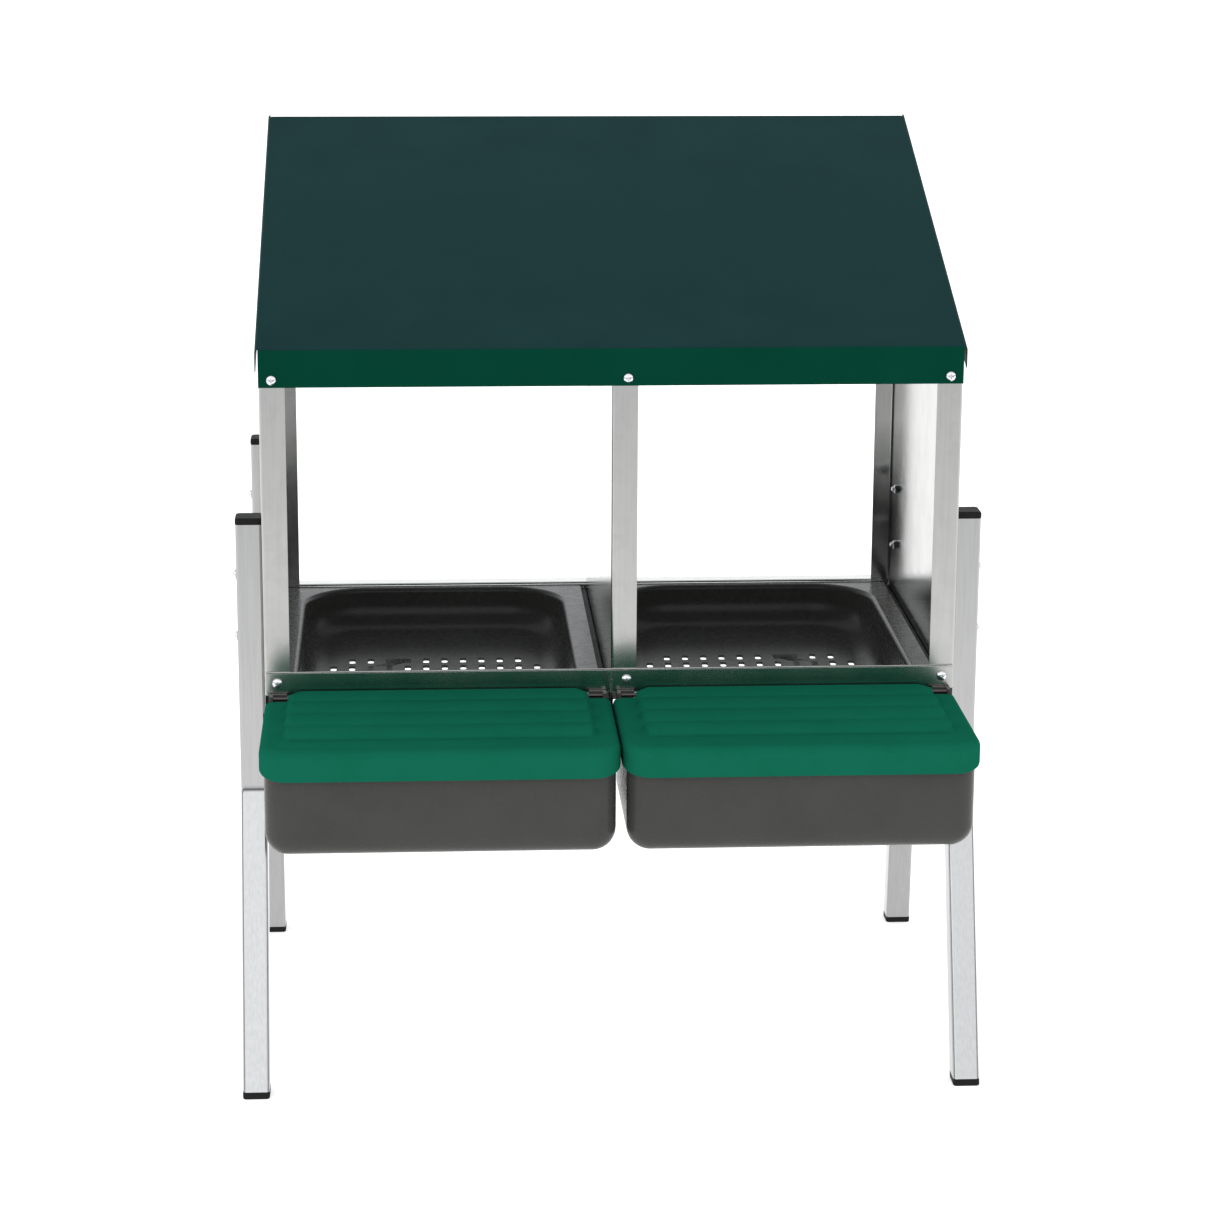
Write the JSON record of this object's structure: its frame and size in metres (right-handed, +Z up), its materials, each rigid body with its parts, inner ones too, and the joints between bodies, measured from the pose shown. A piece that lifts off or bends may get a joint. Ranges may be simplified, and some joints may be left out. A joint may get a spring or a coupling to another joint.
{
  "type": "roll-away nesting box",
  "caption": "Free-standing poultry nesting box with a sheet housing, sloping roof, square-tube legs, slide-out nest trays and hinged egg collector lids.",
  "frame": {"origin": "on the ground at the centre of the footprint, under the middle of the housing", "axes": "+Z up, +X to the right and +Y to the rear, as seen from the egg collectors in front; X = 0 is the middle plane"},
  "size_m": [0.7086, 0.6312, 0.8702],
  "materials": {
    "galvanised_sheet": "bright galvanised sheet with soft reflections",
    "roof_paint": "satin dark green coil coating",
    "tray_plastic": "dark grey moulded plastic, slightly satin",
    "lid_plastic": "green moulded plastic, fine matt surface",
    "pin_steel": "plain steel pin",
    "leg_tube": "bright galvanised square tube",
    "black_plastic": "black moulded plastic",
    "zinc_fastener": "bright zinc plating"
  },
  "bodies": {
    "frame": {"side_panel_left": "galvanised_sheet", "side_panel_right": "galvanised_sheet", "center_divider": "galvanised_sheet", "front_rail": "galvanised_sheet", "rear_rail": "galvanised_sheet", "roof_panel": "roof_paint", "front_leg_left": "leg_tube", "front_leg_right": "leg_tube", "rear_leg_left": "leg_tube", "rear_leg_right": "leg_tube", "tray_runner_left_outer": "black_plastic", "tray_runner_left_inner": "black_plastic", "tray_runner_right_inner": "black_plastic", "tray_runner_right_outer": "black_plastic", "front_leg_top_cap_left": "black_plastic", "front_leg_top_cap_right": "black_plastic", "front_leg_foot_cap_left": "black_plastic", "front_leg_foot_cap_right": "black_plastic", "rear_leg_top_cap_left": "black_plastic", "rear_leg_top_cap_right": "black_plastic", "rear_leg_foot_cap_left": "black_plastic", "rear_leg_foot_cap_right": "black_plastic", "fascia_screw_left": "zinc_fastener", "fascia_screw_center": "zinc_fastener", "fascia_screw_right": "zinc_fastener", "front_rail_screw_left": "zinc_fastener", "front_rail_screw_center": "zinc_fastener", "front_rail_screw_right": "zinc_fastener", "rear_rail_screw_left": "zinc_fastener", "rear_rail_screw_center": "zinc_fastener", "rear_rail_screw_right": "zinc_fastener", "roof_rear_screw_left": "zinc_fastener", "roof_rear_screw_center": "zinc_fastener", "roof_rear_screw_right": "zinc_fastener", "leg_bolt_front_left_lower": "zinc_fastener", "leg_bolt_front_left_upper": "zinc_fastener", "leg_bolt_front_right_lower": "zinc_fastener", "leg_bolt_front_right_upper": "zinc_fastener", "leg_bolt_rear_left_lower": "zinc_fastener", "leg_bolt_rear_left_upper": "zinc_fastener", "leg_bolt_rear_right_lower": "zinc_fastener", "leg_bolt_rear_right_upper": "zinc_fastener", "leg_nut_front_left_lower": "zinc_fastener", "leg_nut_front_left_upper": "zinc_fastener", "leg_nut_front_right_lower": "zinc_fastener", "leg_nut_front_right_upper": "zinc_fastener", "leg_nut_rear_left_lower": "zinc_fastener", "leg_nut_rear_left_upper": "zinc_fastener", "leg_nut_rear_right_lower": "zinc_fastener", "leg_nut_rear_right_upper": "zinc_fastener"},
    "tray_left": {"nest_tray_left": "tray_plastic", "hinge_pin_outer_left": "pin_steel", "hinge_pin_inner_left": "pin_steel"},
    "tray_right": {"nest_tray_right": "tray_plastic", "hinge_pin_outer_right": "pin_steel", "hinge_pin_inner_right": "pin_steel"},
    "lid_left": {"egg_lid_left": "lid_plastic"},
    "lid_right": {"egg_lid_right": "lid_plastic"}
  },
  "joints": [
    {"name": "tray_left_slide", "type": "slide", "parent": "frame", "child": "tray_left", "axis": [0, -1, 0], "range_m": [0, 0.4]},
    {"name": "tray_right_slide", "type": "slide", "parent": "frame", "child": "tray_right", "axis": [0, -1, 0], "range_m": [0, 0.4]},
    {"name": "lid_left_hinge", "type": "hinge", "parent": "tray_left", "child": "lid_left", "pos_m": [-0.1627, -0.14715, 0.3756], "axis": [-1, 0, 0], "range_deg": [0, 88]},
    {"name": "lid_right_hinge", "type": "hinge", "parent": "tray_right", "child": "lid_right", "pos_m": [0.1627, -0.14715, 0.3756], "axis": [-1, 0, 0], "range_deg": [0, 88]}
  ]
}
